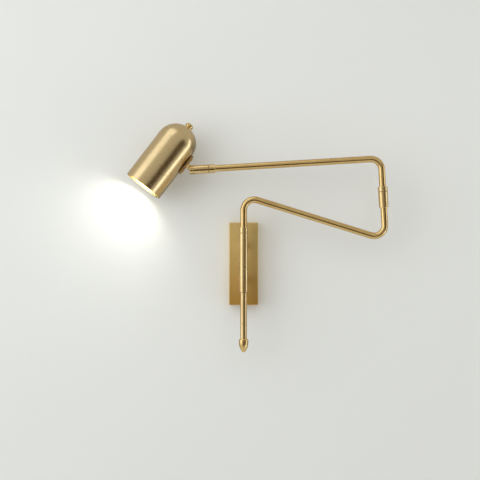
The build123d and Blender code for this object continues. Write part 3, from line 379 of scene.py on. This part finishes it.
def shade_lining(tree, color):
    """The inside of the shade, whose surface faces its own axis, is left deeper and yellower."""
    place = add(tree, "TexCoord")
    from_axis = add(tree, "VectorMath", {0: place.outputs["Object"], 1: head_centre}, operation="SUBTRACT")
    sides = {0: from_axis.outputs[0], 1: place.outputs["Normal"]}
    outward = add(tree, "VectorMath", sides, operation="DOT_PRODUCT").outputs["Value"]
    inside = map_range(tree, outward, lining_blend, -lining_blend, 0.0, 1.0)
    return mix_color(tree, inside, color, shade_lining_color)


def plate_painted_shade(tree, color):
    """Painted shade: the plate's colour darkens towards its foot, standing in for its reflection dimming
    downward.
    """
    height = add(tree, "SeparateXYZ", {0: solid_place(tree)}).outputs["Z"]
    painted_shade_share = map_range(tree, height, painted_shade_start, plate_foot, 0.0, 1.0)
    return mix_color(tree, painted_shade_share, color, plate_deep_tone_and_shade)


shade_brass = brass(
    "shade_satin_brass",
    color=(0.86, 0.67, 0.365, 1),
    deep=(0.70, 0.51, 0.24, 1),
    bright=(0.95, 0.80, 0.52, 1),
    grain_maker=lambda tree: turned_grain(tree, head_centre, head_axis, fine=0.0006, turn_share=2.0),
    roughness=0.26,
    coat=0.06,
    clouding=0.3,
    grain_depth=0.000004,
    grain_swing=0.3,
    recolor=shade_lining,
)
plate_brass = brass(
    "plate_brushed_brass",
    color=(1.0, 0.785, 0.335, 1),
    deep=plate_deep_tone_and_shade,
    bright=(1.0, 0.86, 0.50, 1),
    grain_maker=lambda tree: straight_grain(tree, fine=0.0005, long=0.02),
    roughness=0.50,
    anisotropic=0.7,
    clouding=0.12,
    grain_swing=0.6,
    # painted shade: the plate's colour darkens towards its foot
    recolor=plate_painted_shade,
)

# The other metals

fine_grain = 0.0004
fine_grain_depth = 0.000003


def turned_brass(name, centre, axis, roughness):
    """The satin brass of the turned sleeves, collars and rings."""
    return brass(
        name,
        color=(0.91, 0.68, 0.33, 1),
        deep=(0.70, 0.47, 0.19, 1),
        bright=(0.96, 0.80, 0.50, 1),
        grain_maker=lambda tree: turned_grain(tree, centre, axis, fine=fine_grain, turn_share=1.5),
        roughness=roughness,
        coat=0.05,
        grain_depth=fine_grain_depth,
        grain_swing=0.4,
    )


def polished_brass(name, centre, axis, roughness):
    """The lacquered bright brass of the finial, the knob and the visible screws."""
    return brass(
        name,
        color=(0.92, 0.68, 0.29, 1),
        deep=(0.70, 0.44, 0.13, 1),
        bright=(1.0, 0.84, 0.48, 1),
        grain_maker=lambda tree: turned_grain(tree, centre, axis, fine=fine_grain, turn_share=1.5),
        roughness=roughness,
        coat=0.1,
        grain_depth=fine_grain_depth,
        grain_swing=0.4,
    )


tube_brass = brass(
    "tube_satin_brass",
    color=(0.91, 0.65, 0.28, 1),
    deep=(0.70, 0.46, 0.17, 1),
    bright=(0.96, 0.78, 0.45, 1),
    grain_maker=lambda tree: even_grain(tree, fine_grain),
    roughness=0.20,
    coat=0.05,
    grain_depth=fine_grain_depth,
    grain_swing=0.5,
)
barrel_brass = turned_brass("barrel_turned_brass", swing_centre, swing_axis, roughness=0.28)
elbow_brass = turned_brass("elbow_turned_brass", elbow_centre, elbow_axis, roughness=0.28)
socket_brass = turned_brass("socket_turned_brass", roll_centre, roll_axis, roughness=0.20)
finial_brass = polished_brass("finial_polished_brass", swing_centre, swing_axis, roughness=0.28)
knob_brass = polished_brass("knob_polished_brass", head_centre, head_axis, roughness=0.18)
# A darker copy of the brass for the saddle plate and its spacers: painted shade for where they sit under
# the lamp head
saddle_shaded_brass = brass(
    "saddle_painted_shade_brass",
    color=(0.48, 0.27, 0.08, 1),
    deep=(0.30, 0.16, 0.04, 1),
    bright=(0.86, 0.60, 0.26, 1),
    grain_maker=lambda tree: even_grain(tree, fine_grain),
    roughness=0.30,
    coat=0.05,
    grain_depth=fine_grain_depth,
    grain_swing=0.6,
)
zinc_steel = zinc("zinc_steel")
bearing_bronze = brass(
    "bearing_bronze",
    color=(0.36, 0.23, 0.10, 1),
    deep=(0.20, 0.12, 0.05, 1),
    bright=(0.60, 0.42, 0.20, 1),
    grain_maker=lambda tree: even_grain(tree, 0.0003),
    roughness=0.42,
)

# The other materials

black_rubber = moulded(
    "black_rubber",
    color=(0.030, 0.030, 0.032, 1),
    shade=(0.016, 0.016, 0.017, 1),
    roughness=0.62,
    depth=0.00004,
)
block_plastic = moulded(
    "block_plastic",
    color=(0.74, 0.73, 0.68, 1),
    shade=(0.62, 0.60, 0.54, 1),
    roughness=0.42,
)
holder_ceramic = moulded(
    "holder_ceramic",
    color=(0.82, 0.80, 0.74, 1),
    shade=(0.70, 0.67, 0.59, 1),
    roughness=0.22,
    coat=0.3,
)
lamp_white = moulded(
    "lamp_white",
    color=(0.84, 0.84, 0.82, 1),
    shade=(0.76, 0.76, 0.73, 1),
    roughness=0.30,
)
lamp_lens = lit_lens("lamp_lens", head_centre, head_axis)

# Every node's finish: what isn't listed is zinc plated steel

finishes = {
    shade_brass: ["shade"],
    plate_brass: ["backplate_cover"],
    tube_brass: ["lower_arm_tube", "upper_arm_tube"],
    barrel_brass: ["post_upper", "post_lower", "wall_barrel", "wall_collar", "tail_washer", "tail_rod"],
    elbow_brass: ["elbow_sleeve", "elbow_collar"],
    socket_brass: ["head_ring", "socket_sleeve", "knuckle_stem", "apex_neck"],
    saddle_shaded_brass: ["saddle_plate", "saddle_spacers"],
    finial_brass: ["tail_finial", "cover_screws"],
    knob_brass: ["apex_knob", "saddle_screws", "tilt_screws"],
    bearing_bronze: ["barrel_bush_upper", "barrel_bush_lower", "elbow_bush", "socket_bush"],
    black_rubber: ["bracket_grommet", "lead_bush"],
    block_plastic: ["terminal_block"],
    holder_ceramic: ["lampholder"],
    lamp_white: ["lamp_body"],
    lamp_lens: ["lamp_lens"],
}
finish_of = {name: material for material, names in finishes.items() for name in names}
for name, piece in nodes.items():
    piece.data.materials.clear()
    piece.data.materials.append(finish_of.get(name, zinc_steel))

# Stage: a wall that shows from the front only, and a floor; the paint's marks are counted per metre

rolled_marks = 350.0
rolled_relief = 0.00003
broad_marks = 1.5
darker_share = 0.97
paint_smooth = 0.75
paint_rough = 0.85
paint_specular = 0.2


def sheet_mesh(name, corners, material):
    """One flat sheet that isn't part of the lamp."""
    mesh = bpy.data.meshes.new(name)
    mesh.from_pydata(corners, [], [tuple(range(len(corners)))])
    mesh.materials.append(material)
    sheet = bpy.data.objects.new(name, mesh)
    bpy.context.scene.collection.objects.link(sheet)
    return sheet


def plaster(name, color, one_sided):
    """Matt painted plaster with a very faint unevenness."""
    material, tree = new_tree(name)
    place = solid_place(tree)
    rolled = noise(tree, place, rolled_marks, detail=3.0)
    broad = noise(tree, place, broad_marks, detail=2.0)
    darker = tuple(part * darker_share for part in color) + (1,)
    broad_share = map_range(tree, broad, noise_low, noise_high, 0.0, 1.0, smooth=True)
    shader = add(tree, "BsdfPrincipled", {
        "Base Color": mix_color(tree, broad_share, color + (1,), darker),
        "Roughness": map_range(tree, rolled, noise_low, noise_high, paint_smooth, paint_rough),
        "Normal": bump(tree, rolled, rolled_relief),
        "Specular IOR Level": paint_specular,
    })
    if one_sided:
        behind = add(tree, "NewGeometry").outputs["Backfacing"]
        clear = add(tree, "BsdfTransparent")
        shader = add(tree, "MixShader", {0: behind, 1: shader.outputs[0], 2: clear.outputs[0]})
    finish_tree(tree, shader)
    return material


wall_top = wall_height + floor_height
wall = sheet_mesh("wall", [
    (-wall_half_width, wall_gap, floor_height),
    (wall_half_width, wall_gap, floor_height),
    (wall_half_width, wall_gap, wall_top),
    (-wall_half_width, wall_gap, wall_top),
], plaster("wall_paint", wall_color, one_sided=True))
wall.visible_diffuse = False
wall.visible_glossy = False
wall.visible_shadow = False
sheet_mesh("floor", [
    (-wall_half_width, -wall_half_width, floor_height),
    (wall_half_width, -wall_half_width, floor_height),
    (wall_half_width, wall_half_width, floor_height),
    (-wall_half_width, wall_half_width, floor_height),
], plaster("floor_paint", floor_color, one_sided=False))

# Light: a pale room, three cool soft boxes, three fills that metal doesn't show, and two dark cards

lamp_middle = Vector((0.0, arm_plane_y, 0.05))
card_color = (0.085, 0.05, 0.02, 1)
card_corner_count = 48
neutral_tint = (1.0, 1.0, 1.0)
daylight_tint = (0.965, 1.02, 1.12)
room_tint = (1.0, 0.97, 0.90, 1)
room_brightest = Vector((-0.2, -0.1, 0.97)).normalized()
room_dim_from = -0.45
room_bright_from = 0.35


def direction(azimuth, elevation):
    """A unit vector from the lamp: azimuth 0 is towards the camera, positive to the right."""
    across = math.radians(azimuth)
    up = math.radians(elevation)
    return Vector((math.sin(across) * math.cos(up), -math.cos(across) * math.cos(up), math.sin(up)))


def facing_lamp(place, lean):
    """The turn of a box or card at a place, square to the lamp and leaning in its own plane."""
    outward = (place - lamp_middle).to_track_quat("Z", "Y")
    return outward @ Quaternion((0, 0, 1), math.radians(lean))


def soft_box(name, azimuth, elevation, distance, width, height, level, lean=0.0, seen_in_metal=True,
             tint=neutral_tint):
    """A rectangular soft box aimed at the lamp, with angles in degrees; a level of 1 is a white face."""
    light = bpy.data.lights.new(name, "AREA")
    light.shape = "RECTANGLE"
    light.size = width
    light.size_y = height
    light.energy = level * math.pi * width * height
    light.color = tint
    box = bpy.data.objects.new(name, light)
    box.location = lamp_middle + direction(azimuth, elevation) * distance
    box.rotation_euler = facing_lamp(box.location, lean).to_euler()
    box.visible_glossy = seen_in_metal
    bpy.context.scene.collection.objects.link(box)


def dark_card(name, azimuth, elevation, distance, width, height, lean=0.0):
    """An oval matt card that only the metal sees, as a photographer sets beside the camera."""
    material, tree = new_tree(name)
    finish_tree(tree, add(tree, "BsdfDiffuse", {"Color": card_color}))
    centre = lamp_middle + direction(azimuth, elevation) * distance
    turn = facing_lamp(centre, lean)
    corners = []
    for step in range(card_corner_count):
        angle = 2 * math.pi * step / card_corner_count
        corner = Vector((math.cos(angle) * width / 2, math.sin(angle) * height / 2, 0))
        corners.append(centre + turn @ corner)
    card = sheet_mesh(name, corners, material)
    card.visible_camera = False
    card.visible_diffuse = False
    card.visible_shadow = False
    card.visible_transmission = False


def pale_room(bright_level, dim_level):
    """A plain room in a faintly warm white, brighter above."""
    world = bpy.data.worlds.new("pale_room")
    world.use_nodes = True
    tree = world.node_tree
    outward = add(tree, "TexCoord").outputs["Generated"]
    share = add(tree, "VectorMath", {0: outward, 1: room_brightest}, operation="DOT_PRODUCT")
    strength = map_range(
        tree, share.outputs["Value"], room_dim_from, room_bright_from, dim_level, bright_level, smooth=True,
    )
    background = tree.nodes["Background"]
    feed(tree, background.inputs["Color"], room_tint)
    feed(tree, background.inputs["Strength"], strength)
    bpy.context.scene.world = world


soft_box("key_box", azimuth=-63, elevation=9, distance=2.4, width=2.2, height=2.9, level=1.03,
         tint=daylight_tint)
soft_box("top_box", azimuth=-50, elevation=62, distance=2.4, width=1.7, height=1.7, level=0.68,
         tint=daylight_tint)
soft_box("right_strip", azimuth=78, elevation=-14, distance=2.3, width=0.56, height=3.2, level=1.85,
         lean=-24, tint=daylight_tint)
soft_box("left_fill", azimuth=-45, elevation=15, distance=2.3, width=2.2, height=2.2, level=0.62,
         seen_in_metal=False)
soft_box("front_fill", azimuth=0, elevation=35, distance=2.3, width=2.4, height=1.8, level=0.52,
         seen_in_metal=False)
soft_box("right_fill", azimuth=45, elevation=10, distance=2.3, width=2.2, height=2.2, level=0.29,
         seen_in_metal=False)
dark_card("side_card", azimuth=33, elevation=-5, distance=2.4, width=1.45, height=2.8, lean=-33)
dark_card("low_card", azimuth=-2, elevation=-26, distance=2.4, width=1.3, height=2.6)
pale_room(bright_level=0.47, dim_level=0.20)

# Camera: square on to the wall, as in the photograph

picture_middle_x = (photo_width / 2 - origin_pixel_x) * photo_scale
picture_middle_z = (origin_pixel_y - photo_width / 2) * photo_scale
camera_data = bpy.data.cameras.new("camera")
camera_data.sensor_width = sensor_width
camera_data.lens = sensor_width * camera_distance / (photo_width * photo_scale)
camera = bpy.data.objects.new("camera", camera_data)
camera.location = (picture_middle_x, arm_plane_y - camera_distance, picture_middle_z)
camera.rotation_euler = (math.pi / 2, 0, 0)
bpy.context.scene.collection.objects.link(camera)
bpy.context.scene.camera = camera
bpy.context.scene.view_settings.view_transform = "Standard"
